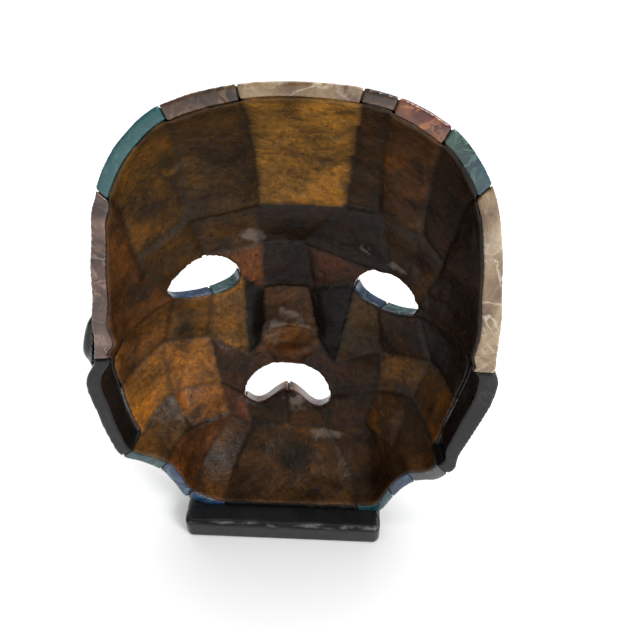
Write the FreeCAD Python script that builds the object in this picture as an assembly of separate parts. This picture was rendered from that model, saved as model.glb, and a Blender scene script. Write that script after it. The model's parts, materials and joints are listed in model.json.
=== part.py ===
import FreeCAD, Part
import math
import os

# A stone-mosaic folk mask on a stone plinth. Millimetres.
# Origin: middle of the plinth's underside. +Z up, the face looks toward -Y,
# the hollow back opens toward +Y, +X is the mask's own left.

V = FreeCAD.Vector

# ---- driving dimensions ----------------------------------------------------
PLINTH = (96.0, 50.0, 12.0)      # width, depth, thickness
PLINTH_CORNER = 3.5              # radius of the plinth's upright corners
PLINTH_EDGE = 1.6                # worn bevel round the top edge
CHIN_X = -5.7                    # the chin's middle, off the plinth's middle
REAR_Y = 15.0                    # the plane of the mask's rear rim
DEPTH = 60.0                     # outer face ahead of the rim plane, nose left out
ROUND_SIDE = 0.48                # fullness of the dish at the sides; lower is fuller
ROUND_TOP = 0.85                 # and at the top, where the forehead slopes back
ROUND_CHIN = 0.42                # and at the chin
BACK = 6.0                       # stone thickness, front to back
JOINT = 0.19                     # half of a joint between two stones
COAT = 1.0                       # lacquer coat on the inside
BAND = 11.0                      # depth of an ear band
NOSE_X = 5.0                     # the nose's middle line
FACET = 0.12                     # 0 = flat tile backs, 1 = backs that follow the face
N_U = 13                         # sample rows across a stone
N_V = 13                         # sample rows along a stone
EAR_FRONT = 33.0                 # the ears' front faces, ahead of the rim plane
EAR_OUT = {"L": 6.5, "R": 3.5}   # how far each ear stands outside the outline
EAR_REAR = {"L": 1.5, "R": 8.0}  # each ear's rear edge, ahead of the rim plane
EAR_DRAW = {"L": 9.5, "R": 5.0}  # how much of that is lost toward the lobe
EAR_WIDE = 101.0                 # height below which the ear draws in
EAR_FOOT = 1.1                   # glue gap between an ear and the wall

# Middle that the outline is measured round, and the outline itself: stations
# (x, z) from the chin's middle on the plinth's top, counter-clockwise.
MID = (-3.0, 104.0)
RIM = {
    "c0": (-3, -2), "c1": (20, -2), "R9": (36, -2), "c2": (41, -1), "R8": (53, 6),
    "c3": (58, 18), "R7": (63, 28), "c4": (70, 33), "R6": (79, 37), "c5": (82.5, 50),
    "Rb": (84, 68), "c6": (84.5, 84), "R5": (77.5, 99.5),
    "c8": (74.8, 112), "c9": (71.8, 127), "d0": (66.5, 151), "R4": (59, 175.5),
    "d1": (46.2, 193.8), "R2": (34, 203), "R1": (11, 209.5), "d2": (-8, 210.5),
    "r1": (-25, 209), "r2": (-35, 206.5), "r3": (-51, 198), "r4": (-65.5, 180),
    "d3": (-73, 157), "d4": (-77, 135), "d5": (-80, 110), "r5": (-81, 98.5),
    "d6": (-83.5, 90), "d7": (-83, 82), "rb": (-80, 68), "d8": (-76, 52),
    "r6": (-71, 33), "d9": (-68, 29), "r7": (-57, 26), "e1": (-53, 22), "r8": (-48, 13),
    "e2": (-40, -1), "r9": (-32, -2), "e3": (-20, -2),
}
# Stone corners inside the outline, (x, z); capitals on the mask's left.
SPOT = {
    "A1": (15, 148), "A2": (44, 148), "A4": (64, 139),
    "G1": (16, 124), "H1": (18, 98), "H3": (19, 61), "K1": (46, 67), "K2": (42, 44),
    "K3": (27, 55), "J0": (67, 76), "J1": (66, 47), "J3": (55, 27), "J4": (37, 24),
    "Q1": (25, 16),
    "a1": (-21, 148), "a2": (-37, 148), "a3": (-54, 145), "a4": (-66, 134),
    "g1": (-3, 123), "h1": (-6, 95), "h3": (-11, 62), "k1": (-45, 62), "k2": (-42, 42),
    "k3": (-18, 52), "j0": (-68, 73), "j1": (-60, 45), "j3": (-51, 24), "j4": (-36, 21),
    "q1": (-15, 17),
}
# Eye openings: middle, half length, half height, lift of the inner end in degrees.
EYE = {"L": (43.0, 110.0, 15.5, 12.2, 7.0), "R": (-44.5, 101.5, 16.0, 11.8, 12.0)}
EYE_AT = {"EO": -12, "EU": 100, "EI": 188, "EL": 268}
# Mouth opening: middle, corner height, half width, rise, drop, lip lift.
MOUTH = (6.3, 32.0, 23.0, 17.5, 7.0, 9.0)
MOUTH_AT = {"ML": 1.0, "MU": 0.36, "mu": -0.36, "mr": -1.0, "MB": 0.0}


# ---- the dish and the face on it --------------------------------------------
def polar(x, z):
    return math.atan2(z - MID[1], x - MID[0]), math.hypot(x - MID[0], z - MID[1])


STATIONS = sorted(polar(x, z) for x, z in RIM.values())


def ring_slopes():
    """Slope of the outline's radius at each station, without overshoot."""
    n = len(STATIONS)
    secants = []
    for i in range(n):
        low, high = STATIONS[i], STATIONS[(i + 1) % n]
        span = (high[0] - low[0]) % (2 * math.pi)
        secants.append((high[1] - low[1]) / span)
    slopes = []
    for i in range(n):
        a, b = secants[i - 1], secants[i]
        slopes.append(0.0 if a * b <= 0 else 2 * a * b / (a + b))
    return slopes


SLOPES = ring_slopes()


def radius(a):
    """Outline's distance from its middle at a bearing."""
    n = len(STATIONS)
    for i in range(n):
        low, high = STATIONS[i], STATIONS[(i + 1) % n]
        span = (high[0] - low[0]) % (2 * math.pi)
        past = (a - low[0]) % (2 * math.pi)
        if past <= span:
            t = past / span
            m0, m1 = SLOPES[i] * span, SLOPES[(i + 1) % n] * span
            ease = t * t * (3 - 2 * t)
            bend = t * (1 - t) * ((1 - t) * m0 - t * m1)
            return low[1] + (high[1] - low[1]) * ease + bend
    return STATIONS[0][1]


def on_rim(a):
    return MID[0] + radius(a) * math.cos(a), MID[1] + radius(a) * math.sin(a)


def smooth(t):
    t = max(0.0, min(1.0, t))
    return t * t * (3 - 2 * t)


def mound(x, z, cx, cz, wx, wz):
    return math.exp(-((x - cx) / wx) ** 2 - ((z - cz) / wz) ** 2)


def pair(x, z, left, right, wx, wz):
    return mound(x, z, left[0], left[1], wx, wz) + mound(x, z, right[0], right[1], wx, wz)


def nose(x, z):
    rise = 3.0 + 18.0 * smooth((138.0 - z) / 75.0)
    ends = smooth((z - 57.0) / 10.0) * smooth((142.0 - z) / 14.0)
    half = 13.0 + 7.0 * smooth((125.0 - z) / 60.0)
    u = min(1.0, abs(x - NOSE_X) / half)
    return rise * ends * math.cos(u * math.pi / 2) ** 1.7


def lids(x, z):
    """Raised rim round each eye opening."""
    high = 0.0
    for side in ("L", "R"):
        cx, cz, a, b, lift = EYE[side]
        k = math.radians(lift)
        dx = (x - cx) * (1 if side == "L" else -1)
        u = dx * math.cos(k) - (z - cz) * math.sin(k)
        w = dx * math.sin(k) + (z - cz) * math.cos(k) - 0.6
        far = math.hypot(u / a, w / b)
        high += 2.4 * math.exp(-((far - 1.17) / 0.3) ** 2)
    return high


def lips(x, z):
    """Raised lips round the mouth opening."""
    cx, cz, half, rise, drop, lip = MOUTH
    u = (x - cx) / half
    middle = cz + 9.0 - 6.0 * min(1.3, abs(u)) ** 2
    far = math.hypot(u / 1.02, (z - middle) / 11.5)
    return 4.0 * smooth((1.55 - far) / 0.35)


def relief(x, z, r, k):
    high = nose(x, z)
    high += 4.0 * k * pair(x, z, (42, 131), (-42, 126), 25, 8)
    high -= 3.0 * k * pair(x, z, (43, 108), (-44, 101), 21, 13)
    high += 4.0 * k * pair(x, z, (46, 70), (-43, 66), 17, 15)
    high += 5.0 * k * mound(x, z, 6, 38, 30, 20)
    high += 6.0 * k * mound(x, z, 4, 10, 24, 10)
    if k == 1.0:
        high += lids(x, z) + lips(x, z)
        high += 4.5 * pair(x, z, (NOSE_X + 13, 68), (NOSE_X - 13, 68), 5.5, 7)
    return high * (1 - r ** 6)


def fullness(a):
    up, down = max(0.0, math.sin(a)), max(0.0, -math.sin(a))
    return ROUND_SIDE + (ROUND_TOP - ROUND_SIDE) * up ** 1.5 + (ROUND_CHIN - ROUND_SIDE) * down


def dish(r, a):
    return max(0.0, 1 - r * r) ** fullness(a)


def rim_wall(a):
    side = 1.3 * max(0.0, -math.cos(a)) - 1.2 * max(0.0, math.sin(a)) ** 4
    low = max(0.0, math.cos(2 * (abs(math.atan2(math.sin(a), abs(math.cos(a))) + 0.45))))
    return 5.5 + side + 1.6 * (low if math.sin(a) < 0.1 else 0.0)


def outer(x, z):
    a, far = polar(x, z)
    r = min(1.0, far / radius(a))
    return (x, z, DEPTH * dish(r, a) + relief(x, z, r, 1.0))


def inner(x, z):
    a, far = polar(x, z)
    r = min(1.0, far / radius(a))
    s = 1 - rim_wall(a) / radius(a)
    high = (DEPTH - BACK) * dish(r, a) + relief(x, z, r, 0.8)
    return (MID[0] + (x - MID[0]) * s, MID[1] + (z - MID[1]) * s, high)


def place(p):
    return V(p[0] + CHIN_X, REAR_Y - p[2], p[1] + PLINTH[2])


# ---- named points and the lines between them --------------------------------
def eye(side, degrees):
    cx, cz, a, b, lift = EYE[side]
    t = math.radians(degrees)
    out = 1 if side == "L" else -1
    u = a * math.cos(t)
    w = b * math.sin(t) * (1 - 0.12 * math.cos(t)) + 1.2 * math.sin(t) ** 2
    k = math.radians(lift)
    return cx + out * (u * math.cos(k) + w * math.sin(k)), cz - u * math.sin(k) + w * math.cos(k)


def mouth(u, upper):
    cx, cz, half, rise, drop, lip = MOUTH
    swell = max(0.0, 1 - abs(u) ** 2.6) ** 0.55
    z = cz + 0.6 * u + rise * swell
    if not upper:
        z = cz + 0.6 * u - drop * swell + lip * math.cos(math.pi * min(0.8, abs(u)) / 1.6) ** 2
    return cx + half * u, z


def side_of(name):
    return "L" if name[0].isupper() else "R"


def spot(name):
    key = name.upper()
    if name in RIM:
        return on_rim(polar(*RIM[name])[0])
    if key in EYE_AT:
        return eye(side_of(name), EYE_AT[key])
    if name in MOUTH_AT:
        return mouth(MOUTH_AT[name], name in ("MU", "mu"))
    if name in ("H2", "h2"):
        p = SPOT["H1" if name == "H2" else "h1"]
        q = SPOT["H3" if name == "H2" else "h3"]
        return p[0] + 0.74 * (q[0] - p[0]), p[1] + 0.74 * (q[1] - p[1])
    if name == "Q0":
        p, q = SPOT["Q1"], SPOT["q1"]
        return (p[0] + q[0]) / 2, (p[1] + q[1]) / 2
    return SPOT[name]


def is_rim(name):
    return name in RIM


def leg_kind(p, q):
    if is_rim(p) and is_rim(q):
        return "rim"
    if p.upper() in EYE_AT and q.upper() in EYE_AT:
        return "eye"
    if p in MOUTH_AT and q in MOUTH_AT:
        return "mouth"
    return "out" if is_rim(p) or is_rim(q) else "line"


def leg(p, q, t):
    """Point at t (0 to 1) of the line between two neighbouring corners."""
    kind = leg_kind(p, q)
    if kind == "rim":
        a, b = polar(*RIM[p])[0], polar(*RIM[q])[0]
        b += 2 * math.pi * round((a - b) / (2 * math.pi))
        return on_rim(a + (b - a) * t)
    if kind == "eye":
        a, b = EYE_AT[p.upper()], EYE_AT[q.upper()]
        b += 360 * round((a - b) / 360.0)
        return eye(side_of(p), a + (b - a) * t)
    if kind == "mouth":
        a, b = MOUTH_AT[p], MOUTH_AT[q]
        lower = "MB" in (p, q)
        w = a + (b - a) * t
        if not lower:
            w = math.sin(math.asin(a) + (math.asin(b) - math.asin(a)) * t)
        if lower:
            w = math.sin(math.asin(a) + (math.asin(b) - math.asin(a)) * t)
        return mouth(w, not lower)
    (ax, az), (bx, bz) = spot(p), spot(q)
    return ax + (bx - ax) * t, az + (bz - az) * t


def leg_dip(p, q, t):
    """How far a tile back's edge is flattened toward its chord, in depth."""
    if leg_kind(p, q) != "line":
        return 0.0
    high_p, high_q = inner(*spot(p))[2], inner(*spot(q))[2]
    chord = high_p + (high_q - high_p) * t
    return (1 - FACET) * (chord - inner(*leg(p, q, t))[2])


def side_length(names):
    total = 0.0
    for p, q in zip(names, names[1:]):
        (ax, az), (bx, bz) = spot(p), spot(q)
        total += math.hypot(bx - ax, bz - az)
    return total


def along(names, t):
    """Point and flattening at t of a side made of one or more legs."""
    legs = list(zip(names, names[1:]))
    sizes = [side_length(pair_) for pair_ in legs]
    left = t * sum(sizes)
    for (p, q), size in zip(legs, sizes):
        if left <= size + 1e-9:
            s = min(1.0, left / size)
            return leg(p, q, s), leg_dip(p, q, s)
        left -= size
    return leg(legs[-1][0], legs[-1][1], 1.0), 0.0


# ---- solids ----------------------------------------------------------------
def spline(grid):
    surface = Part.BSplineSurface()
    surface.interpolate(grid)
    return surface


def block(front, back):
    """Closed solid between two point grids of the same size."""
    a, b = spline(front), spline(back)
    faces = [a.toShape(), b.toShape()]
    a0, a1, a2, a3 = a.bounds()
    b0, b1, b2, b3 = b.bounds()
    pairs = [(a.uIso(a0), b.uIso(b0)), (a.uIso(a1), b.uIso(b1))]
    pairs += [(a.vIso(a2), b.vIso(b2)), (a.vIso(a3), b.vIso(b3))]
    for one, two in pairs:
        faces.append(Part.makeRuledSurface(one.toShape(), two.toShape(), 1))
    shell = Part.Compound(faces)
    shell.sewShape(0.002)
    closed = shell.Shells[0] if shell.Shells else Part.makeShell(faces)
    solid = Part.Solid(closed)
    if solid.Volume < 0:
        solid.reverse()
    return solid


def patch(corners, rim_side):
    """Front-view grid of a four-sided stone, with its flattening."""
    low, right, high, left = corners
    mean_u = (side_length(low) + side_length(high)) / 2
    mean_v = (side_length(left) + side_length(right)) / 2
    gap_u, gap_v = JOINT / mean_u, JOINT / mean_v
    top = 1.0 if rim_side else 1 - gap_v
    p00, p10 = spot(low[0]), spot(low[-1])
    p01, p11 = spot(high[0]), spot(high[-1])
    rows = []
    for i in range(N_U):
        u = gap_u + (1 - 2 * gap_u) * i / (N_U - 1)
        row = []
        for j in range(N_V):
            s = j / (N_V - 1)
            s = math.sin(s * math.pi / 2) if rim_side else s
            v = gap_v + (top - gap_v) * s
            (lo, dl), (hi, dh) = along(low, u), along(high, u)
            (le, de), (ri, dr) = along(left, v), along(right, v)
            xz = []
            for n in (0, 1):
                flat = (1 - u) * (1 - v) * p00[n] + u * (1 - v) * p10[n]
                flat += (1 - u) * v * p01[n] + u * v * p11[n]
                xz.append((1 - v) * lo[n] + v * hi[n] + (1 - u) * le[n] + u * ri[n] - flat)
            dip = (1 - v) * dl + v * dh + (1 - u) * de + u * dr
            row.append((xz[0], xz[1], dip))
        rows.append(row)
    return rows


def stone_grids(corners, rim_side, extra):
    front, back, coat = [], [], []
    for row in patch(corners, rim_side):
        f, b, c = [], [], []
        for x, z, dip in row:
            p = outer(x, z)
            q = inner(x, z)
            q = (q[0], q[1], q[2] + dip)
            far = math.sqrt(sum((q[n] - p[n]) ** 2 for n in (0, 1, 2)))
            k = 1 + extra
            m = k + COAT / far
            f.append(place(p))
            b.append(place(tuple(p[n] + k * (q[n] - p[n]) for n in (0, 1, 2))))
            c.append(place(tuple(p[n] + m * (q[n] - p[n]) for n in (0, 1, 2))))
        front.append(f)
        back.append(b)
        coat.append(c)
    return front, back, coat


# name: (first side, second side, third side, fourth side), thickness change.
# The first and third sides run the same way, and so do the second and fourth.
# The third side of a rim stone is the rim.
def quad(a, b, c, d):
    return ([a, b], [b, c], [d, c], [a, d])


def both(name, corners, left, right):
    low = tuple(n.lower() for n in corners)
    return [("left_" + name, quad(*corners), left), ("right_" + name, quad(*low), right)]


RIM_STONES = [("forehead_centre", quad("A1", "a1", "r1", "R1"), 0.0)]
RIM_STONES += [
    ("left_forehead_inner", quad("A2", "A1", "R1", "R2"), 0.10),
    ("left_forehead_outer", quad("A4", "A2", "R2", "R4"), -0.05),
    ("left_temple", quad("EO", "A4", "R4", "R5"), 0.05),
    ("right_forehead_strip", quad("a1", "a2", "r2", "r1"), -0.12),
    ("right_forehead_inner", quad("a2", "a3", "r3", "r2"), 0.08),
    ("right_forehead_outer", quad("a3", "a4", "r4", "r3"), -0.04),
    ("right_temple", quad("a4", "eo", "r5", "r4"), 0.10),
    ("chin_centre", (["Q1", "Q0", "q1"], ["q1", "r9"], ["R9", "r9"], ["Q1", "R9"]), 0.05),
]
RIM_STONES += both("side_upper", ("J0", "EO", "R5", "Rb"), 0.0, 0.0)
RIM_STONES += both("side_lower", ("J1", "J0", "Rb", "R6"), 0.06, -0.05)
RIM_STONES += both("jaw_corner", ("J3", "J1", "R6", "R7"), -0.05, 0.05)
RIM_STONES += both("jaw", ("J4", "J3", "R7", "R8"), 0.08, 0.0)
RIM_STONES += both("chin_side", ("Q1", "J4", "R8", "R9"), -0.06, 0.06)
FACE_STONES = [
    ("brow_centre", quad("A1", "a1", "g1", "G1"), 0.0),
    ("nose_bridge", quad("G1", "g1", "h1", "H1"), 0.08),
    ("nose_tip", quad("H1", "h1", "h2", "H2"), -0.05),
    ("nose_underside", quad("H2", "h2", "h3", "H3"), 0.05),
    ("upper_lip_centre", quad("H3", "h3", "mu", "MU"), 0.0),
    ("left_upper_lip", quad("H3", "K3", "ML", "MU"), 0.08),
    ("right_upper_lip", quad("h3", "k3", "mr", "mu"), 0.04),
    ("left_lower_lip", quad("ML", "MB", "Q0", "Q1"), -0.04),
    ("right_lower_lip", quad("mr", "MB", "Q0", "q1"), 0.06),
    ("left_nose_side", (["H1", "EI"], ["EI", "K3"], ["H3", "K3"], ["H1", "H2", "H3"]), 0.0),
    ("right_nose_side", (["h1", "ei"], ["ei", "k3"], ["h3", "k3"], ["h1", "h2", "h3"]), 0.08),
    ("left_mouth_side", quad("K3", "K1", "K2", "ML"), 0.08),
    ("right_mouth_side", quad("k3", "k1", "k2", "mr"), -0.04),
    ("left_lower_cheek", quad("ML", "K2", "J4", "Q1"), -0.06),
    ("right_lower_cheek", quad("mr", "k2", "j4", "q1"), 0.05),
]
FACE_STONES += both("brow_outer", ("A2", "A4", "EO", "EU"), 0.06, 0.0)[:1]
FACE_STONES += [
    ("right_brow_outer", (["a2", "a3", "a4"], ["a4", "eo"], ["eu", "eo"], ["a2", "eu"]), 0.05)]
FACE_STONES += both("brow_inner", ("A1", "A2", "EU", "G1"), -0.05, 0.08)
FACE_STONES += both("eye_corner", ("G1", "EU", "EI", "H1"), 0.10, 0.0)
FACE_STONES += both("under_eye_inner", ("EI", "EL", "K1", "K3"), 0.06, -0.05)
FACE_STONES += both("under_eye_outer", ("EL", "EO", "J0", "K1"), -0.08, 0.06)
FACE_STONES += both("cheek", ("K1", "J0", "J1", "K2"), 0.10, 0.0)
FACE_STONES += both("jaw_inner", ("K2", "J1", "J3", "J4"), -0.05, 0.08)


def rear_slab(depth, low, high):
    """Everything behind `depth` ahead of the rim plane, between two heights."""
    box = Part.makeBox(400, 100, high - low)
    box.translate(V(-200, REAR_Y - depth, PLINTH[2] + low))
    return box


def under_plinth_top():
    box = Part.makeBox(300, 300, 30)
    box.translate(V(-150, -150, PLINTH[2] - 30))
    return box


CUT_BEHIND = {"side_upper": BAND + 0.3, "side_lower": BAND + 0.3}


def trimmed(name, solid):
    for key, depth in CUT_BEHIND.items():
        if name.endswith(key):
            solid = solid.cut(rear_slab(depth, -30, 150))
    if "chin" in name:
        solid = solid.cut(under_plinth_top())
    return solid.Solids[0] if len(solid.Solids) == 1 else solid


def depth_radius(h, a):
    return math.sqrt(1 - (h / DEPTH) ** (1 / fullness(a)))


def wall_point(a, h, out, foot_h):
    """Point at a bearing and a depth, `out` beyond the dish at depth `foot_h`."""
    r = radius(a) * depth_radius(foot_h, a) + out
    return (MID[0] + r * math.cos(a), MID[1] + r * math.sin(a), h)


def ear_band(high, low):
    """Flat-ended strip that closes the wall's rear edge beside the ear."""
    a0, a1 = polar(*RIM[high])[0], polar(*RIM[low])[0]
    a1 += 2 * math.pi * round((a0 - a1) / (2 * math.pi))
    trim = 0.4 / 80.0 * (1 if a1 > a0 else -1)
    front, back = [], []
    for i in range(9):
        a = a0 + trim + (a1 - a0 - 2 * trim) * i / 8
        f, b = [], []
        for j in range(4):
            h = BAND * j / 3
            f.append(place(wall_point(a, h, 0.0, h)))
            b.append(place(wall_point(a, h, -rim_wall(a), h)))
        front.append(f)
        back.append(b)
    return block(front, back)


def ear_reach(side, z):
    """How far the ear's edge stands outside the outline: it draws in below."""
    return EAR_OUT[side] - EAR_DRAW[side] * smooth((EAR_WIDE - z) / 26.0)


def ear(side, top, bottom, upper):
    """Ear stone on the outside of the dish: the upper one is round at the top,
    the lobe is round at the foot. Its broad face looks forward."""
    front, back = [], []
    least = EAR_FOOT + 0.5
    for i in range(13):
        s = math.sin(math.pi / 2 * i / 12) if not upper else 1 - math.cos(math.pi / 2 * i / 12)
        z = top + (bottom - top) * s
        end = s if upper else 1 - s
        full = math.sqrt(max(0.0, 1 - (1 - min(1.0, end / 0.55)) ** 2))
        a = math.atan2(z - MID[1], 84.0 if side == "L" else -84.0)
        edge = radius(a)
        rear_h = EAR_REAR[side] + 4.0 * (1 - full) + 10.0 * smooth((EAR_WIDE - z) / 20.0)
        front_h = EAR_FRONT - 6.0 * (1 - full)
        f, b = [], []
        for j in range(17):
            t = j / 16
            h = rear_h + (front_h - rear_h) * t
            foot = edge * depth_radius(h, a)
            out = least + max(0.6, edge + ear_reach(side, z) - foot - least) * full
            if t < 0.15:
                k, deep = math.sin(math.pi / 2 * t / 0.15), h
                out = least + (out - least) * k
            elif t > 0.6:
                k = (t - 0.6) / 0.4
                deep = rear_h + (front_h - rear_h) * min(1.0, 0.6 + 1.2 * (t - 0.6))
                foot_f = edge * depth_radius(front_h, a)
                far = (edge + ear_reach(side, z) - foot_f - least) * full * (1 - k ** 1.3) + least
                cup = 3.2 * full * mound(k, s, 0.62, 0.75 if upper else 0.3, 0.24, 0.3)
                deep = deep - cup
                f.append(place(wall_point(a, deep, far, front_h)))
                b.append(place(wall_point(a, h, EAR_FOOT, h)))
                continue
            else:
                deep = h
            f.append(place(wall_point(a, deep, out, h)))
            b.append(place(wall_point(a, h, EAR_FOOT, h)))
        front.append(f)
        back.append(b)
    return block(front, back)


def plinth():
    w, d, t = PLINTH
    box = Part.makeBox(w, d, t)
    box.translate(V(-w / 2, -d / 2, 0))
    upright = [e for e in box.Edges if abs(e.tangentAt(e.FirstParameter).z) > 0.99]
    box = box.makeFillet(PLINTH_CORNER, upright)
    top = [e for e in box.Edges if abs(e.BoundBox.ZMin - t) < 1e-4 and e.BoundBox.ZLength < 1e-4]
    box = box.makeChamfer(PLINTH_EDGE, top)
    low = [e for e in box.Edges if abs(e.BoundBox.ZMax) < 1e-4]
    return box.makeChamfer(0.6, low)


def save(name, shape):
    if not shape.isValid() or shape.Volume <= 0:
        print("BAD", name, shape.isValid(), round(shape.Volume, 1))
    shape.exportStep("parts/" + name + ".step")
    return shape


def main():
    os.makedirs("parts", exist_ok=True)
    coats = []
    for stones, rim_side in ((RIM_STONES, True), (FACE_STONES, False)):
        for name, corners, extra in stones:
            front, back, coat = stone_grids(corners, rim_side, extra)
            save(name, trimmed(name, block(front, back)))
            coats.append(trimmed(name, block(back, coat)))
    save("lacquer_lining", Part.Compound(coats))
    for side, high, low in (("left", "R5", "R6"), ("right", "r5", "r6")):
        save(side + "_ear_band", ear_band(high, low))
    save("left_ear_upper", ear("L", 117, 82, True))
    save("left_ear_lobe", ear("L", 81.6, 56, False))
    save("right_ear_upper", ear("R", 106, 72, True))
    save("right_ear_lobe", ear("R", 71.6, 46, False))
    save("plinth", plinth())


main()
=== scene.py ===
"""A stone mosaic mask on a black stone plinth, standing with its lacquered hollow to the camera."""
import json
import math
import random

import bpy
import numpy as np
from bpy.props import FloatProperty, FloatVectorProperty, IntProperty, PointerProperty
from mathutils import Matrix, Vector, noise
from mathutils.bvhtree import BVHTree


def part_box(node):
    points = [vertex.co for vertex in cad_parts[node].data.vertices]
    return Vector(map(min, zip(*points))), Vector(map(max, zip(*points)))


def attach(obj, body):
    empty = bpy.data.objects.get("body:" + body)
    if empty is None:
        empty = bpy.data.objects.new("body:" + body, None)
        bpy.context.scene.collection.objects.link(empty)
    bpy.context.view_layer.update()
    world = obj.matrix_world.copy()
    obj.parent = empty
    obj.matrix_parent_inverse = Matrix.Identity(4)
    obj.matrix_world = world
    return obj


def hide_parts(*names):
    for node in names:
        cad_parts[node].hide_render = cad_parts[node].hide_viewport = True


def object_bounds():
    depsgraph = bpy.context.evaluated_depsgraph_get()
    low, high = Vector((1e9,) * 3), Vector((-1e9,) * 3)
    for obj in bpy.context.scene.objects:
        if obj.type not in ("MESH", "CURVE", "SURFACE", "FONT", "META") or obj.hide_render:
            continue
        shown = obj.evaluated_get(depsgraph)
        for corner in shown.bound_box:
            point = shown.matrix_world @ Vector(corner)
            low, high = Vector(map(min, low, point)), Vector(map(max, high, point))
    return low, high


bl_info = {
    "name": "Stone mosaic mask",
    "version": (1, 0, 0),
    "blender": (4, 5, 0),
    "location": "3D View > Sidebar > Mask",
    "description": "Dresses a packed stone mask: stones, lacquered back, plinth and a plain studio",
    "category": "Object",
}

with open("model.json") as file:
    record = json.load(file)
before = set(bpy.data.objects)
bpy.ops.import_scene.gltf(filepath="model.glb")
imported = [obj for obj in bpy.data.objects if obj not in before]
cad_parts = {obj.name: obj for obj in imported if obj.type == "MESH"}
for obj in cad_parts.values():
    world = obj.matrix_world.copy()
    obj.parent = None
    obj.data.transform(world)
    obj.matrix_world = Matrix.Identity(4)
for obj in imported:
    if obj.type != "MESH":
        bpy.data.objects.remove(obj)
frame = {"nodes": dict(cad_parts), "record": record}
CAD_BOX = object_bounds()
NODES = frame["nodes"]
SLOT_OF = {p["node"]: p["material_slot"] for p in frame["record"]["subparts"]}
MM = 0.001
BANDS = ("left_ear_band", "right_ear_band")

MERGE = 0.01 * MM  # points of a CAD mesh this close together are one
GRINDING = 0.10 * MM  # unevenness of a stone's hand-ground faces
JOIN, SUNK = 0.3 * MM, 1.0 * MM  # stones grow to meet over the joints, then the glue sinks
SEAM_GROOVE = 0.22 * MM  # how far the lacquer sags into a joint
RAGGED = 3.2 * MM  # how far the edge of a rubbed spot, a painted highlight or a blotted spot wanders
SPOT_DEPTH = 14.0  # reach of such a spot through the wall, in mm
BEAD_COUNT = 150
PLINTH_VOXEL, WORN_EDGE = 0.8 * MM, 2.6 * MM  # finest step of the plinth, width of its chipped edge
CAMERA_PLACE = (-26.15 * MM, 188.1 * MM, 283.6 * MM)
CAMERA_LENS, CAMERA_SENSOR = 34.875, 36.0  # mm
CAMERA_PITCH, CAMERA_TURN = 40.47, 2.6  # degrees down, and to the side
WORLD_STRENGTH = 0.34

# Kinds of shader node, and the settings they share.
NOISE, RAMP, RANGE = "ShaderNodeTexNoise", "ShaderNodeValToRGB", "ShaderNodeMapRange"
MIX, MATH, BUMP = "ShaderNodeMix", "ShaderNodeMath", "ShaderNodeBump"
WRITTEN = "ShaderNodeAttribute"
BLEND, TIMES = {"data_type": "RGBA"}, {"data_type": "RGBA", "blend_type": "MULTIPLY"}
SUM, LESS, PRODUCT = {"operation": "ADD"}, {"operation": "SUBTRACT"}, {"operation": "MULTIPLY"}
LARGER, UNSIGNED = {"operation": "MAXIMUM"}, {"operation": "ABSOLUTE"}


def colour(code):
    """sRGB hex to the linear colour that shaders take."""
    parts = [int(code[i:i + 2], 16) / 255 for i in (1, 3, 5)]
    linear = [c / 12.92 if c <= 0.04045 else ((c + 0.055) / 1.055) ** 2.4 for c in parts]
    return tuple(linear) + (1.0,)


# ---- sizes and colours a user would change ------------------------------------
class MaskSizes(bpy.types.PropertyGroup):
    stone_voxel: FloatProperty(
        name="Stone grain", description="Finest step kept in a stone's worn edges",
        default=0.7 * MM, subtype="DISTANCE", unit="LENGTH", precision=5)
    stone_wear: IntProperty(
        name="Stone wear", description="Passes that round a stone's cut edges", default=2)
    coat_voxel: FloatProperty(
        name="Lacquer grain", description="Finest step kept in the lacquer on the back",
        default=1.04 * MM, subtype="DISTANCE", unit="LENGTH", precision=5)
    core_voxel: FloatProperty(
        name="Joint grain", description="Finest step kept in the glue in the joints",
        default=1.25 * MM, subtype="DISTANCE", unit="LENGTH", precision=5)
    coat_swell: FloatProperty(
        name="Lacquer swell", description="Growth that closes the lacquer over the joints",
        default=0.26 * MM, subtype="DISTANCE", unit="LENGTH", precision=5)
    coat_relief: FloatProperty(
        name="Lacquer relief", description="Height of the brushed-on lacquer's lumps",
        default=0.35 * MM, subtype="DISTANCE", unit="LENGTH", precision=5)
    chip: FloatProperty(
        name="Plinth chips", description="Depth of the chips along the plinth's edges",
        default=0.9 * MM, subtype="DISTANCE", unit="LENGTH", precision=5)


class MaskLook(bpy.types.PropertyGroup):
    lacquer: FloatVectorProperty(
        name="Lacquer", description="Colour of aged brown lacquer over pale stone",
        default=colour("#5e4621")[:3], subtype="COLOR", size=3, min=0, max=1)
    # Colour of dust and resin, and of the painted shade along the joints between the stones.
    dirt_and_shade: FloatVectorProperty(
        name="Dirt", description="Colour of dust and resin caught in the lacquer",
        default=colour("#1c1812")[:3], subtype="COLOR", size=3, min=0, max=1)
    floor: FloatVectorProperty(
        name="Floor", description="Colour of the plain floor",
        default=colour("#f6f6f6")[:3], subtype="COLOR", size=3, min=0, max=1)
    sun: FloatProperty(
        name="Key light", description="Power of the soft light behind the mask", default=9.5,
        subtype="POWER", unit="POWER")
    ceiling: FloatProperty(
        name="Ceiling light", description="Power of the wide light over the floor", default=42.0,
        subtype="POWER", unit="POWER")


# ---- small tools --------------------------------------------------------------
def tone(shade):
    """A hex colour made linear; one number or three are plain factors on a colour."""
    if isinstance(shade, str):
        return colour(shade)
    return (tuple(shade) if hasattr(shade, "__len__") else (shade,) * 3) + (1.0,)


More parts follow.
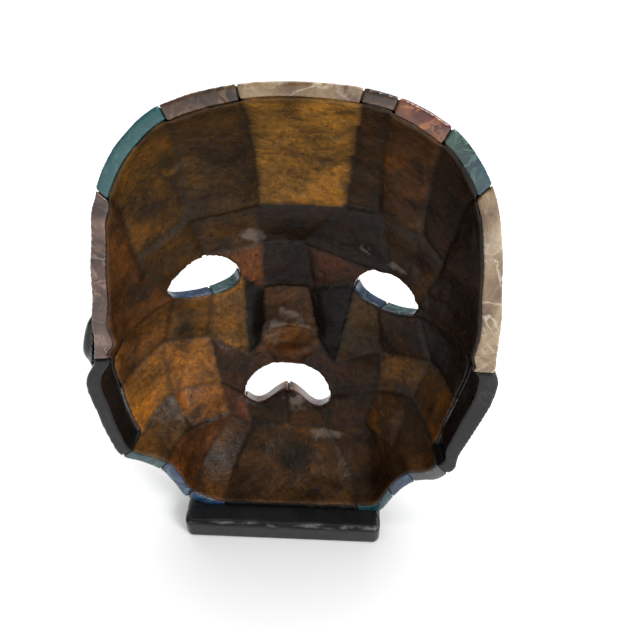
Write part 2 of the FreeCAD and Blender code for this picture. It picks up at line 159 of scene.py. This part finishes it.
def add(tree, kind, settings=None, out=0, stops=(), **links):
    """Adds a node with its settings, colour stops and links, and gives one of its outputs,
    or the node itself if out is None. A link is named for its socket, with _ for a space;
    in0, in1 ... are sockets by number."""
    node = tree.nodes.new(kind)
    for key, value in (settings or {}).items():
        setattr(node, key, value)
    for n, (place, shade) in enumerate(stops):
        band = node.color_ramp.elements
        stop = band[n] if n < len(band) else band.new(place)
        stop.position, stop.color = place, tone(shade)
    for key, value in links.items():
        name = int(key[2:]) if key[:2] == "in" and key[2:].isdigit() else key.replace("_", " ")
        socket = node.inputs[name]
        if isinstance(value, bpy.types.NodeSocket):
            tree.links.new(value, socket)
        else:
            socket.default_value = value
    return node if out is None else node.outputs[out]


def new_material(name):
    """An empty material: itself, its nodes, its shader and the piece's own coordinates."""
    material = bpy.data.materials.new(name)
    material.use_nodes = True
    tree = material.node_tree
    tree.nodes.clear()
    shader = add(tree, "ShaderNodeBsdfPrincipled", out=None)
    add(tree, "ShaderNodeOutputMaterial", out=None, Surface=shader.outputs[0])
    return material, tree, shader, add(tree, "ShaderNodeTexCoord", out="Object")


def deselect():
    for thing in bpy.context.selected_objects:
        thing.select_set(False)


def only(piece):
    """Makes one piece the selected and active object."""
    deselect()
    piece.select_set(True)
    bpy.context.view_layer.objects.active = piece


def in_edit(piece, *steps):
    """Runs edit-mode steps on the whole of a piece."""
    only(piece)
    bpy.ops.object.mode_set(mode="EDIT")
    bpy.ops.mesh.select_all(action="SELECT")
    for step in steps:
        step()
    bpy.ops.object.mode_set(mode="OBJECT")


def modify(piece, kind, **settings):
    """Adds a modifier and applies it."""
    only(piece)
    modifier = piece.modifiers.new(kind.lower(), kind)
    for key, value in settings.items():
        setattr(modifier, key, value)
    bpy.ops.object.modifier_apply(modifier=modifier.name)


def copy_node(node, name):
    """A piece with its own merged copy of a CAD node's mesh."""
    source = NODES[node]
    piece = bpy.data.objects.new(name, source.data.copy())
    bpy.context.scene.collection.objects.link(piece)
    piece.data.materials.clear()
    in_edit(piece, lambda: bpy.ops.mesh.remove_doubles(threshold=MERGE))
    return piece


def dress(piece, material):
    piece.data.materials.clear()
    piece.data.materials.append(material)


def points(piece, what="co"):
    """Places or normals of a piece's points, as rows of three."""
    rows = np.zeros(len(piece.data.vertices) * 3, np.float32)
    if what == "co":
        piece.data.vertices.foreach_get("co", rows)
    else:
        piece.data.vertex_normals.foreach_get("vector", rows)
    return rows.reshape(-1, 3)


def swell(piece, amounts):
    """Moves every point of a piece along its normal, inside the object's own box."""
    amounts = np.asarray(amounts, np.float32).reshape(-1, 1)
    places = points(piece) + points(piece, "normal") * amounts
    places = np.clip(places, np.array(CAD_BOX[0]), np.array(CAD_BOX[1]))
    piece.data.vertices.foreach_set("co", places.astype(np.float32).ravel())
    piece.data.update()


# ---- stones -------------------------------------------------------------------
# Each kind of stone: base, second colour, vein, vein spacing in mm, share of vein,
# blotch size in mm, roughness, and how much of the maker's wax it still has.
STONES = {
    "cream_onyx": ("#a08763", "#62452c", "#c9bba4", 9.0, 0.32, 13.0, 0.16, 0.30),
    "pink_marble": ("#553528", "#2a1812", "#8a6d5c", 6.0, 0.36, 10.0, 0.22, 0.20),
    "turquoise": ("#12454a", "#082630", "#5f867c", 5.0, 0.26, 7.0, 0.24, 0.20),
    "blue_azurite": ("#11365c", "#081a32", "#5a7c90", 6.0, 0.20, 6.0, 0.24, 0.20),
    "brown_jasper": ("#4b3120", "#22140b", "#8f6b48", 8.0, 0.30, 9.0, 0.22, 0.25),
    "red_jasper": ("#642a17", "#32110a", "#b07244", 7.0, 0.32, 8.0, 0.22, 0.25),
    "green_serpentine": ("#193c36", "#0a1f22", "#64877a", 6.0, 0.24, 8.0, 0.22, 0.20),
    "black_obsidian": ("#0d0c0c", "#060606", "#2a2725", 11.0, 0.12, 18.0, 0.26, 0.0),
    "grey_marble": ("#414343", "#242627", "#6f706c", 9.0, 0.26, 12.0, 0.24, 0.20),
}


# A stone that changes colour part of the way across: from, to (metres along x), colour.
BANDED = {
    "forehead_centre": (-0.018, -0.030, "#5c4029"),
    "left_forehead_outer": (0.060, 0.050, "#1a5a5c"),
    "right_forehead_outer": (-0.060, -0.070, "#154055"),
}


def polished_stone(name, kind, seed, band=None):
    """Cut and polished stone: cloudy body colour, a second colour in blotches, thin veins
    along cracks, and fine saw marks that survived the polish."""
    base, second, vein, spacing, share, blotch, rough, wax = STONES[kind]
    material, tree, shader, place = new_material(name)
    at = add(tree, "ShaderNodeMapping", Vector=place,
             Location=(0.31 * seed, 0.17 * seed, 0.23 * seed),
             Rotation=(0.9 * seed, 1.7 * seed, 0.4 * seed))
    cloud = add(tree, NOISE, Vector=at, Scale=1 / (blotch * MM), Detail=7.0, Roughness=0.62,
                Distortion=0.9)
    body = add(tree, RAMP, stops=[(0.36, second), (0.62, base)], in0=cloud)
    # Veins run where a noise crosses its middle, about twice in each of its cells.
    crack = add(tree, NOISE, Vector=at, Scale=0.5 / (spacing * MM), Detail=6.0, Roughness=0.55,
                Distortion=1.6)
    crack = add(tree, MATH, UNSIGNED, in0=add(tree, MATH, LESS, in0=crack, in1=0.5))
    line = add(tree, RAMP, stops=[(0.0, 1.0), (0.035, 0.0)], in0=crack)
    gate = add(tree, NOISE, Vector=at, Scale=0.4 / (spacing * MM), Detail=3.0)
    gate = add(tree, RAMP, stops=[(0.5 - share * 0.3, 0.0), (0.62, 1.0)], in0=gate)
    veins = add(tree, MATH, PRODUCT, in0=line, in1=gate)
    shade = add(tree, MIX, BLEND, out=2, in0=veins, in6=body, in7=colour(vein))
    patch = add(tree, NOISE, Vector=at, Scale=1 / (1.7 * blotch * MM), Detail=2.0, Roughness=0.4)
    patch = add(tree, RAMP, stops=[(0.66 - 0.25 * share, 0.0), (0.74, 1.0)], in0=patch)
    patch = add(tree, MATH, PRODUCT, in0=patch, in1=0.55)
    shade = add(tree, MIX, BLEND, out=2, in0=patch, in6=shade, in7=colour(vein))
    if band:
        ragged = add(tree, MATH, LESS, in0=cloud, in1=0.5)
        ragged = add(tree, MATH, PRODUCT, in0=ragged, in1=30 * MM)
        across = add(tree, "ShaderNodeSeparateXYZ", Vector=place)
        across = add(tree, MATH, SUM, in0=across, in1=ragged)
        turn = add(tree, RANGE, Value=across, From_Min=band[0], From_Max=band[1])
        other = add(tree, MIX, BLEND, out=2, in0=0.35, in6=colour(band[2]), in7=shade)
        shade = add(tree, MIX, BLEND, out=2, in0=turn, in6=shade, in7=other)
    fleck = add(tree, NOISE, Vector=at, Scale=1 / (0.4 * MM), Detail=2.0)
    fleck = add(tree, RAMP, stops=[(0.3, 0.72), (0.7, 1.18)], in0=fleck)
    shade = add(tree, MIX, TIMES, out=2, in0=1.0, in6=shade, in7=fleck)
    tree.links.new(shade, shader.inputs["Base Color"])
    worn = add(tree, NOISE, Vector=at, Scale=1 / (5.5 * MM), Detail=6.0, Roughness=0.7)
    gloss = add(tree, RANGE, Value=worn, From_Min=0.3, From_Max=0.75,
                To_Min=rough * 0.7, To_Max=rough * 2.1)
    tree.links.new(gloss, shader.inputs["Roughness"])
    shader.inputs["IOR"].default_value = 1.54
    shader.inputs["Specular IOR Level"].default_value = 0.5 if wax else 0.25
    shader.inputs["Coat Weight"].default_value = wax
    shader.inputs["Coat Roughness"].default_value = 0.12
    saw = add(tree, NOISE, Vector=at, Scale=1 / (1.1 * MM), Detail=5.0, Roughness=0.75)
    height = add(tree, MATH, SUM, in0=saw, in1=add(tree, MATH, PRODUCT, in0=line, in1=-0.6))
    bump = add(tree, BUMP, Height=height, Strength=0.22, Distance=0.12 * MM)
    tree.links.new(bump, shader.inputs["Normal"])
    return material


def stone_piece(node, material, sizes, seed):
    """A stone with its cut edges worn round and its faces ground by hand."""
    piece = copy_node(node, node + "_stone")
    modify(piece, "REMESH", mode="VOXEL", voxel_size=sizes.stone_voxel, adaptivity=0.0)
    modify(piece, "SMOOTH", factor=0.5, iterations=sizes.stone_wear)
    drift = Vector((3.7 * seed, 1.3 * seed, 2.9 * seed))
    swell(piece, [GRINDING * noise.noise(Vector(p) / (6 * MM) + drift) for p in points(piece)])
    only(piece)
    bpy.ops.object.shade_smooth()
    dress(piece, material)
    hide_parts(node)
    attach(piece, "root")
    return piece


class MASK_OT_stones(bpy.types.Operator):
    """Turns every CAD stone into a worn, polished one"""
    bl_idname = "mask.stones"
    bl_label = "Polished stones"

    def execute(self, context):
        sizes = context.scene.mask_sizes
        skip = ("lacquer_lining", "plinth")
        names = sorted(n for n in NODES if n not in skip)
        if not names:
            raise RuntimeError("the frame holds no stones")
        for seed, node in enumerate(names, 1):
            kind = SLOT_OF[node]
            name = "polished_%s_%02d" % (kind, seed)
            material = polished_stone(name, kind, seed, BANDED.get(node))
            stone_piece(node, material, sizes, seed)
        return {"FINISHED"}


# ---- lacquered back -------------------------------------------------------------
# How light the lacquer looks over each stone, and its hue: 1 is the plain lacquer.
# Partly the lacquer's own colour, partly painted light and shade: brighter on the left inner wall
# that faces the key light and on the nose's underside where it catches the light, darker on the
# shaded right wall and in the nose's trough.
LACQUER_TINT_AND_SHADE = {
    "forehead_centre": (1.95, 1.70, 1.30),
    "left_forehead_inner": (0.40, 0.36, 0.36),
    "left_forehead_outer": (0.60, 0.50, 0.32),
    "left_temple": (0.50, 0.34, 0.26),
    "right_forehead_strip": (0.32, 0.28, 0.34),
    "right_forehead_inner": (0.50, 0.38, 0.42),
    "right_forehead_outer": (0.16, 0.14, 0.20),
    "right_temple": (0.12, 0.10, 0.14),
    "brow_centre": (0.14, 0.11, 0.08),
    "left_brow_inner": (0.34, 0.29, 0.25),
    "left_brow_outer": (0.40, 0.34, 0.28),
    "right_brow_inner": (0.12, 0.09, 0.07),
    "right_brow_outer": (0.32, 0.27, 0.32),
    "nose_bridge": (0.09, 0.06, 0.04),
    "nose_tip": (0.70, 0.52, 0.62),
    "nose_underside": (0.95, 0.76, 0.95),
    "left_eye_corner": (0.80, 0.50, 0.52),
    "right_eye_corner": (0.48, 0.27, 0.36),
    "left_nose_side": (0.04, 0.05, 0.08),
    "right_nose_side": (0.03, 0.02, 0.03),
    "left_under_eye_inner": (1.25, 1.02, 0.90),
    "left_under_eye_outer": (0.80, 0.66, 0.46),
    "right_under_eye_inner": (0.58, 0.52, 0.50),
    "right_under_eye_outer": (0.32, 0.26, 0.30),
    "left_side_upper": (0.85, 0.62, 0.45),
    "left_side_lower": (2.10, 1.50, 0.95),
    "right_side_upper": (0.09, 0.06, 0.06),
    "right_side_lower": (0.80, 0.58, 0.44),
    "left_cheek": (2.20, 1.56, 1.05),
    "right_cheek": (1.10, 0.92, 0.76),
    "upper_lip_centre": (0.72, 0.46, 0.48),
    "left_upper_lip": (0.66, 0.42, 0.44),
    "right_upper_lip": (0.30, 0.22, 0.28),
    "left_mouth_side": (0.34, 0.23, 0.22),
    "right_mouth_side": (0.24, 0.20, 0.22),
    "left_lower_lip": (0.21, 0.18, 0.18),
    "right_lower_lip": (0.27, 0.20, 0.18),
    "left_lower_cheek": (0.78, 0.40, 0.50),
    "right_lower_cheek": (0.26, 0.20, 0.24),
    "left_jaw_inner": (1.85, 1.22, 0.80),
    "right_jaw_inner": (0.62, 0.48, 0.44),
    "left_jaw_corner": (0.66, 0.58, 0.75),
    "right_jaw_corner": (0.36, 0.31, 0.40),
    "left_jaw": (0.72, 0.46, 0.44),
    "right_jaw": (0.44, 0.36, 0.46),
    "left_chin_side": (0.56, 0.44, 0.54),
    "right_chin_side": (0.40, 0.32, 0.42),
    "chin_centre": (0.52, 0.44, 0.60),
}


def nearest_stones():
    """A search tree over every stone, and the stone that each of its faces is part of."""
    points, faces, owner = [], [], []
    for node in sorted(LACQUER_TINT_AND_SHADE):
        mesh = NODES[node].data
        first = len(points)
        points += [v.co.copy() for v in mesh.vertices]
        for face in mesh.polygons:
            faces.append([first + i for i in face.vertices])
            owner.append(node)
    return BVHTree.FromPolygons(points, faces), owner


def paint_tint_and_shade(piece):
    """Writes each point's lacquer colour factor over its stone, which holds painted light and
    shade, and in alpha how near a joint it is, where the lacquer gets dust and painted shade.
    """
    tree, owner = nearest_stones()
    mesh = piece.data
    home = [owner[tree.find_nearest(v.co)[2]] for v in mesh.vertices]
    near = [0.0] * len(mesh.vertices)
    for edge in mesh.edges:
        a, b = edge.vertices
        if home[a] != home[b]:
            near[a] = near[b] = 1.0
    spread = near[:]
    for edge in mesh.edges:
        a, b = edge.vertices
        spread[a] = max(spread[a], 0.45 * near[b])
        spread[b] = max(spread[b], 0.45 * near[a])
    layer = mesh.color_attributes.new("tint_and_shade", "FLOAT_COLOR", "POINT")
    for i, name in enumerate(home):
        layer.data[i].color = LACQUER_TINT_AND_SHADE[name] + (spread[i],)
    return spread


def brushed_lacquer(look):
    """Thick brown lacquer brushed over rough stone backs: its colour over each stone partly painted
    light and shade; golden where it is thin, near black where dust and resin lie in it, darkened
    with painted shade along the joints, pale grey where it is rubbed and as painted highlights
    where the brow, nose and jaw corner catch the light; with drips and pits, half gloss."""
    material, tree, shader, at = new_material("brushed_brown_lacquer")
    tint_and_shade = add(tree, WRITTEN, {"attribute_name": "tint_and_shade"}, out=None)
    wide = add(tree, NOISE, Vector=at, Scale=1 / (18 * MM), Detail=5.0, Roughness=0.6,
               Distortion=0.6)
    fine = add(tree, NOISE, Vector=at, Scale=1 / (2.4 * MM), Detail=6.0, Roughness=0.68,
               Distortion=0.4)
    grain = add(tree, NOISE, Vector=at, Scale=1 / (0.6 * MM), Detail=3.0, Roughness=0.7)
    shade = add(tree, MIX, TIMES, out=2, in0=1.0, in6=tone(look.lacquer), in7=tint_and_shade.outputs["Color"])
    # Thick and thin lacquer, brush marks and dust, each as a factor on the colour.
    cloud = add(tree, RAMP, in0=wide,
                stops=[(0.34, (0.34, 0.34, 0.36)), (0.50, 0.92), (0.66, (1.75, 1.55, 1.15))])
    shade = add(tree, MIX, TIMES, out=2, in0=1.0, in6=shade, in7=cloud)
    mottle = add(tree, RAMP, in0=fine,
                 stops=[(0.32, (0.36, 0.36, 0.38)), (0.50, 0.98), (0.68, (1.60, 1.48, 1.20))])
    shade = add(tree, MIX, TIMES, out=2, in0=0.9, in6=shade, in7=mottle)
    specks = add(tree, RAMP, stops=[(0.33, 0.55), (0.48, 1.0)], in0=grain)
    shade = add(tree, MIX, TIMES, out=2, in0=0.6, in6=shade, in7=specks)
    pits = add(tree, "ShaderNodeTexVoronoi", Vector=at, Scale=1 / (5.9 * MM))
    pits = add(tree, RAMP, stops=[(0.07, 1.0), (0.14, 0.0)], in0=pits)
    gate = add(tree, NOISE, Vector=at, Scale=1 / (14 * MM), Detail=2.0)
    gate = add(tree, RAMP, stops=[(0.50, 0.0), (0.58, 1.0)], in0=gate)
    pits = add(tree, MATH, PRODUCT, in0=pits, in1=gate)
    # Darkening along the joints: dust caught there, and painted shade for the steps between the
    # stones.
    broken = add(tree, RAMP, stops=[(0.28, 0.25), (0.6, 1.0)], in0=fine)
    seam = add(tree, MATH, PRODUCT, in0=tint_and_shade.outputs["Alpha"], in1=broken)
    crease = add(tree, NOISE, Vector=at, Scale=1 / (16 * MM), Detail=5.0, Roughness=0.6,
                 Distortion=1.2)
    crease = add(tree, MATH, UNSIGNED, in0=add(tree, MATH, LESS, in0=crease, in1=0.5))
    crease = add(tree, RAMP, stops=[(0.0, 1.0), (0.010, 0.0)], in0=crease)
    crease = add(tree, MATH, PRODUCT, in0=crease, in1=add(tree, MATH, LESS, in0=1.0, in1=gate))
    blot = add(tree, MATH, SUM, in0=add(tree, WRITTEN, {"attribute_name": "blot"}, out="Fac"),
               in1=add(tree, MATH, PRODUCT, in0=fine, in1=0.5))
    blot = add(tree, RAMP, stops=[(0.45, 0.0), (0.95, 1.0)], in0=blot)
    dark = add(tree, MATH, PRODUCT, in0=seam, in1=0.62)
    for mark, depth in ((pits, 0.85), (crease, 0.65), (blot, 0.70)):
        dark = add(tree, MATH, LARGER, in0=dark, in1=add(tree, MATH, PRODUCT, in0=mark, in1=depth))
    # Pale grey spots: lacquer rubbed through to stone, and painted highlights where the brow, nose
    # and jaw corner catch the light.
    rub_and_highlight = add(tree, MATH, SUM, in0=add(tree, WRITTEN, {"attribute_name": "rub_and_highlight"}, out="Fac"),
              in1=add(tree, MATH, PRODUCT, in0=fine, in1=0.6))
    rub_and_highlight = add(tree, RAMP, stops=[(0.55, 0.0), (1.15, 1.0)], in0=rub_and_highlight)
    rub_and_highlight = add(tree, MATH, PRODUCT, in0=rub_and_highlight, in1=0.55)
    shade = add(tree, MIX, BLEND, out=2, in0=rub_and_highlight, in6=shade, in7=colour("#7d7066"))
    shade = add(tree, MIX, BLEND, out=2, in0=dark, in6=shade, in7=tone(look.dirt_and_shade))
    tree.links.new(shade, shader.inputs["Base Color"])
    rough = add(tree, RANGE, Value=fine, From_Min=0.3, From_Max=0.7, To_Min=0.46, To_Max=0.17)
    tree.links.new(rough, shader.inputs["Roughness"])
    shader.inputs["IOR"].default_value = 1.5
    shader.inputs["Specular IOR Level"].default_value = 0.2
    height = add(tree, MATH, SUM, in0=fine, in1=add(tree, MATH, PRODUCT, in0=grain, in1=0.35))
    height = add(tree, MATH, LESS, in0=height, in1=add(tree, MATH, PRODUCT, in0=pits, in1=0.8))
    bump = add(tree, BUMP, Height=height, Strength=0.75, Distance=0.45 * MM)
    tree.links.new(bump, shader.inputs["Normal"])
    return material


# Places where the lacquer is rubbed down to pale stone, those on the brow, nose and jaw corner
# also painted highlights, and where it is blotted dark:
# stone, place across its box (x, y, z), width in mm, height in mm.
RUBBED_AND_HIGHLIGHTS = (
    ("left_brow_inner", (0.15, 0.40, 0.30), 5.0, 3.0),
    ("left_brow_inner", (0.05, 0.40, 0.18), 3.0, 4.5),
    ("nose_tip", (0.50, 0.80, 0.25), 6.5, 3.0),
    ("nose_underside", (0.30, 0.70, 0.95), 4.0, 2.5),
    ("nose_underside", (0.75, 0.70, 0.95), 4.0, 2.5),
    ("upper_lip_centre", (0.50, 0.50, 0.20), 9.0, 2.0),
    ("right_brow_outer", (0.75, 0.50, 0.45), 4.0, 2.0),
    ("right_brow_inner", (0.35, 0.50, 0.30), 1.2, 4.0),
    ("left_jaw_corner", (0.35, 0.50, 0.85), 3.0, 2.5),
    ("chin_centre", (0.25, 0.20, 0.90), 8.0, 2.5),
    ("right_lower_lip", (0.80, 0.50, 0.75), 6.0, 3.0),
)
BLOTTED = (
    ("left_forehead_inner", (0.15, 0.50, 0.50), 2.6, 3.6),
    ("left_forehead_inner", (0.30, 0.50, 0.80), 4.0, 5.0),
    ("left_forehead_inner", (0.90, 0.50, 0.50), 2.5, 26.0),
    ("forehead_centre", (0.12, 0.80, 0.80), 3.0, 4.0),
    ("forehead_centre", (0.25, 0.80, 0.35), 6.0, 4.0),
    ("forehead_centre", (0.90, 0.80, 0.70), 3.0, 5.0),
    ("forehead_centre", (0.20, 0.50, 0.06), 12.0, 4.0),
    ("right_forehead_inner", (0.45, 0.60, 0.50), 2.0, 10.0),
    ("right_forehead_inner", (0.20, 0.60, 0.80), 5.0, 2.0),
    ("left_forehead_outer", (0.50, 0.50, 0.30), 5.0, 5.0),
    ("left_temple", (0.40, 0.40, 0.25), 7.0, 6.0),
    ("left_under_eye_outer", (0.50, 0.60, 0.40), 5.0, 6.0),
    ("left_cheek", (0.60, 0.60, 0.20), 2.0, 8.0),
    ("left_jaw_inner", (0.50, 0.60, 0.50), 3.0, 4.0),
    ("chin_centre", (0.50, 0.30, 0.50), 10.0, 5.0),
    ("right_cheek", (0.50, 0.50, 0.30), 6.0, 8.0),
)


def write_spots(piece, name, spots):
    """Writes how near each point is to a list of spots, from 0 to 1."""
    noise.seed_set(5)  # noise_vector would otherwise differ from run to run
    places = points(piece)
    ragged = [noise.noise_vector(p / (3 * MM)) * 0.8 + noise.noise_vector(p / (8 * MM))
              for p in map(Vector, places)]
    places = places + np.array(ragged) * RAGGED
    near = np.zeros(len(places))
    for node, part, wide, tall in spots:
        low, high = (np.array(corner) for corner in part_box(node))
        at = low + (high - low) * np.array(part)
        away = (places - at) / (np.array((wide, SPOT_DEPTH, tall)) * MM)
        near = np.maximum(near, np.exp(-(away ** 2).sum(axis=1)))
    layer = piece.data.attributes.new(name, "FLOAT", "POINT")
    layer.data.foreach_set("value", near.astype(np.float32))


def beads(places):
    """Height of runs and blisters where the lacquer gathered, and of pits where it didn't."""
    pick = random.Random(11)
    high = np.zeros(len(places))
    for n in range(BEAD_COUNT):
        at = places[pick.randrange(len(places))]
        wide = pick.uniform(1.1, 2.6) * MM
        tall = wide * pick.choice((1.0, 1.2, 3.2))
        rise = pick.uniform(0.25, 0.75) * MM if n % 3 else -pick.uniform(0.25, 0.5) * MM
        away = (places - at) / np.array((wide, wide * 1.5, tall))
        high += rise * np.exp(-(away ** 2).sum(axis=1))
    return np.clip(high, -0.5 * MM, 0.9 * MM)


def joint_resin():
    """Dull dark glue, sunk a little below the stones on both sides."""
    material, tree, shader, at = new_material("dark_joint_resin")
    mottle = add(tree, NOISE, Vector=at, Scale=1 / (2 * MM), Detail=4.0)
    shade = add(tree, RAMP, stops=[(0.35, "#0d0b09"), (0.7, "#2a2119")], in0=mottle)
    tree.links.new(shade, shader.inputs["Base Color"])
    shader.inputs["Roughness"].default_value = 0.6
    return material


class MASK_OT_joints(bpy.types.Operator):
    """Fills the joints between the stones with dark glue"""
    bl_idname = "mask.joints"
    bl_label = "Joint resin"

    def execute(self, context):
        sizes = context.scene.mask_sizes
        names = [n for n in sorted(LACQUER_TINT_AND_SHADE) + list(BANDS) if n in NODES]
        parts = [copy_node(n, "core_" + n) for n in names]
        deselect()
        for part in parts:
            part.select_set(True)
        core = parts[0]
        context.view_layer.objects.active = core
        bpy.ops.object.join()
        core.name = "joint_resin"
        swell(core, [JOIN] * len(core.data.vertices))
        modify(core, "REMESH", mode="VOXEL", voxel_size=sizes.core_voxel, adaptivity=0.0)
        modify(core, "SMOOTH", factor=0.5, iterations=1)
        swell(core, [-SUNK] * len(core.data.vertices))
        if len(core.data.vertices) < 1000:
            raise RuntimeError("the joint resin came out empty")
        only(core)
        bpy.ops.object.shade_smooth()
        dress(core, joint_resin())
        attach(core, "root")
        return {"FINISHED"}


class MASK_OT_lacquer(bpy.types.Operator):
    """Pours one skin of lacquer over the backs of the stones"""
    bl_idname = "mask.lacquer"
    bl_label = "Lacquered back"

    def execute(self, context):
        sizes, look = context.scene.mask_sizes, context.scene.mask_look
        piece = copy_node("lacquer_lining", "lacquer_coat")
        swell(piece, [sizes.coat_swell] * len(piece.data.vertices))
        modify(piece, "REMESH", mode="VOXEL", voxel_size=sizes.coat_voxel, adaptivity=0.0)
        modify(piece, "SMOOTH", factor=0.5, iterations=2)
        if len(piece.data.vertices) < 1000:
            raise RuntimeError("the lacquer came out empty")
        spread = paint_tint_and_shade(piece)
        write_spots(piece, "rub_and_highlight", RUBBED_AND_HIGHLIGHTS)
        write_spots(piece, "blot", BLOTTED)
        relief = sizes.coat_relief
        lumps = [relief * noise.fractal(Vector(p) / (10.5 * MM), 0.9, 2.1, 4)
                 for p in points(piece)]
        swell(piece, np.array(lumps) + beads(points(piece)) - SEAM_GROOVE * np.array(spread))
        only(piece)
        bpy.ops.object.shade_smooth()
        dress(piece, brushed_lacquer(look))
        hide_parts("lacquer_lining")
        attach(piece, "root")
        return {"FINISHED"}


# ---- plinth -----------------------------------------------------------------------
def black_stone():
    """Sawn and polished black stone: cold near-black, grey where the edges are chipped."""
    material, tree, shader, at = new_material("polished_black_stone")
    cloud = add(tree, NOISE, Vector=at, Scale=1 / (17 * MM), Detail=8.0, Roughness=0.65)
    shade = add(tree, RAMP, stops=[(0.35, "#0e0f10"), (0.65, "#1b1c1d")], in0=cloud)
    chip = add(tree, WRITTEN, {"attribute_name": "chip"}, out="Fac")
    rag = add(tree, NOISE, Vector=at, Scale=1 / (1.4 * MM), Detail=5.0, Roughness=0.7)
    worn = add(tree, MATH, PRODUCT, in0=chip, in1=add(tree, MATH, SUM, in0=rag, in1=0.55))
    worn = add(tree, RAMP, stops=[(0.40, 0.0), (0.95, 1.0)], in0=worn)
    shade = add(tree, MIX, BLEND, out=2, in0=worn, in6=shade, in7=colour("#6a6a69"))
    tree.links.new(shade, shader.inputs["Base Color"])
    scratch = add(tree, NOISE, Vector=at, Scale=1 / (3.8 * MM), Detail=6.0, Roughness=0.7)
    rough = add(tree, RANGE, Value=scratch, From_Min=0.3, From_Max=0.75, To_Min=0.22, To_Max=0.5)
    tree.links.new(rough, shader.inputs["Roughness"])
    shader.inputs["IOR"].default_value = 1.52
    shader.inputs["Specular IOR Level"].default_value = 0.3
    bump = add(tree, BUMP, Height=scratch, Strength=0.3, Distance=0.2 * MM)
    tree.links.new(bump, shader.inputs["Normal"])
    return material


class MASK_OT_plinth(bpy.types.Operator):
    """Makes the plinth with chipped upper edges"""
    bl_idname = "mask.plinth"
    bl_label = "Stone plinth"

    def execute(self, context):
        sizes = context.scene.mask_sizes
        piece = copy_node("plinth", "black_plinth")
        modify(piece, "REMESH", mode="VOXEL", voxel_size=PLINTH_VOXEL, adaptivity=0.0)
        modify(piece, "SMOOTH", factor=0.5, iterations=1)
        low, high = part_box("plinth")
        layer = piece.data.attributes.new("chip", "FLOAT", "POINT")
        depth = []
        for i, row in enumerate(points(piece)):
            place = Vector(row)
            rise = max(0.0, 1 - (high.z - place.z) / WORN_EDGE)
            sides = (high.y - place.y, place.y - low.y, high.x - place.x, place.x - low.x)
            edge = max(rise * (1 - min(1.0, side / WORN_EDGE)) for side in sides)
            along = Vector((place.x * 90, place.y * 300, place.z * 300))  # chips of 11 by 3 mm
            rag = max(0.0, noise.fractal(along, 0.8, 2.0, 5) + 0.12)
            layer.data[i].value = min(1.0, edge * (0.5 + 1.6 * rag))
            depth.append(-sizes.chip * edge * min(1.0, 1.4 * rag))
        swell(piece, depth)
        only(piece)
        bpy.ops.object.shade_smooth()
        dress(piece, black_stone())
        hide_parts("plinth")
        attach(piece, "root")
        return {"FINISHED"}


# ---- camera, lights, floor ----------------------------------------------------------
def soft_box(name, place, aim, width, height, power):
    """A rectangular lamp at a place, turned to its aim."""
    data = bpy.data.lights.new(name, "AREA")
    data.shape = "RECTANGLE"
    data.size, data.size_y = width, height
    data.energy = power
    lamp = bpy.data.objects.new(name, data)
    bpy.context.scene.collection.objects.link(lamp)
    lamp.location = place
    lamp.rotation_euler = (Vector(aim) - Vector(place)).to_track_quat("-Z", "Y").to_euler()


class MASK_OT_studio(bpy.types.Operator):
    """Sets the camera, the lights and the plain floor"""
    bl_idname = "mask.studio"
    bl_label = "Studio"

    def execute(self, context):
        scene, look = context.scene, context.scene.mask_look
        data = bpy.data.cameras.new("camera")
        data.sensor_width = CAMERA_SENSOR
        data.lens = CAMERA_LENS
        data.clip_start = 0.01
        camera = bpy.data.objects.new("camera", data)
        scene.collection.objects.link(camera)
        scene.camera = camera
        pitch, turn = math.radians(CAMERA_PITCH), math.radians(CAMERA_TURN)
        level = math.cos(pitch)
        aim = Vector((math.sin(turn) * level, -math.cos(turn) * level, -math.sin(pitch)))
        camera.location = CAMERA_PLACE
        camera.rotation_euler = aim.to_track_quat("-Z", "Y").to_euler()
        deselect()
        bpy.ops.mesh.primitive_plane_add(size=6.0, location=(0, 0, 0))
        floor = context.object
        floor.name = "floor"
        material, _, shader, _ = new_material("plain_floor")
        shader.inputs["Base Color"].default_value = tone(look.floor)
        shader.inputs["Roughness"].default_value = 0.8
        dress(floor, material)
        world = bpy.data.worlds.new("studio")
        scene.world = world
        world.use_nodes = True
        back = world.node_tree.nodes["Background"]
        back.inputs[0].default_value = (1.0, 1.0, 1.0, 1.0)
        back.inputs[1].default_value = WORLD_STRENGTH
        soft_box("key", (-0.75, 0.60, 0.80), (0.02, 0.0, 0.08), 0.42, 0.42, look.sun)
        soft_box("ceiling", (0.0, -0.55, 1.7), (0.0, 0.1, 0.0), 2.6, 1.8, look.ceiling)
        scene.view_settings.view_transform = "Standard"
        return {"FINISHED"}


class MASK_PT_panel(bpy.types.Panel):
    """Lists the mask's steps"""
    bl_idname = "MASK_PT_panel"
    bl_label = "Stone mosaic mask"
    bl_space_type = "VIEW_3D"
    bl_region_type = "UI"
    bl_category = "Mask"

    def draw(self, context):
        for name in STEPS:
            self.layout.operator("mask." + name)
        for group in (context.scene.mask_sizes, context.scene.mask_look):
            for key in group.bl_rna.properties.keys():
                if key not in ("rna_type", "name"):
                    self.layout.prop(group, key)


STEPS = ("studio", "lacquer", "joints", "stones", "plinth")
CLASSES = (MaskSizes, MaskLook, MASK_OT_studio, MASK_OT_lacquer, MASK_OT_joints, MASK_OT_stones,
           MASK_OT_plinth, MASK_PT_panel)


def register():
    for item in CLASSES:
        bpy.utils.register_class(item)
    bpy.types.Scene.mask_sizes = PointerProperty(type=MaskSizes)
    bpy.types.Scene.mask_look = PointerProperty(type=MaskLook)


def unregister():
    del bpy.types.Scene.mask_look
    del bpy.types.Scene.mask_sizes
    for item in reversed(CLASSES):
        bpy.utils.unregister_class(item)


def main():
    register()
    for name in STEPS:
        getattr(bpy.ops.mask, name)()


if __name__ == "__main__":
    main()
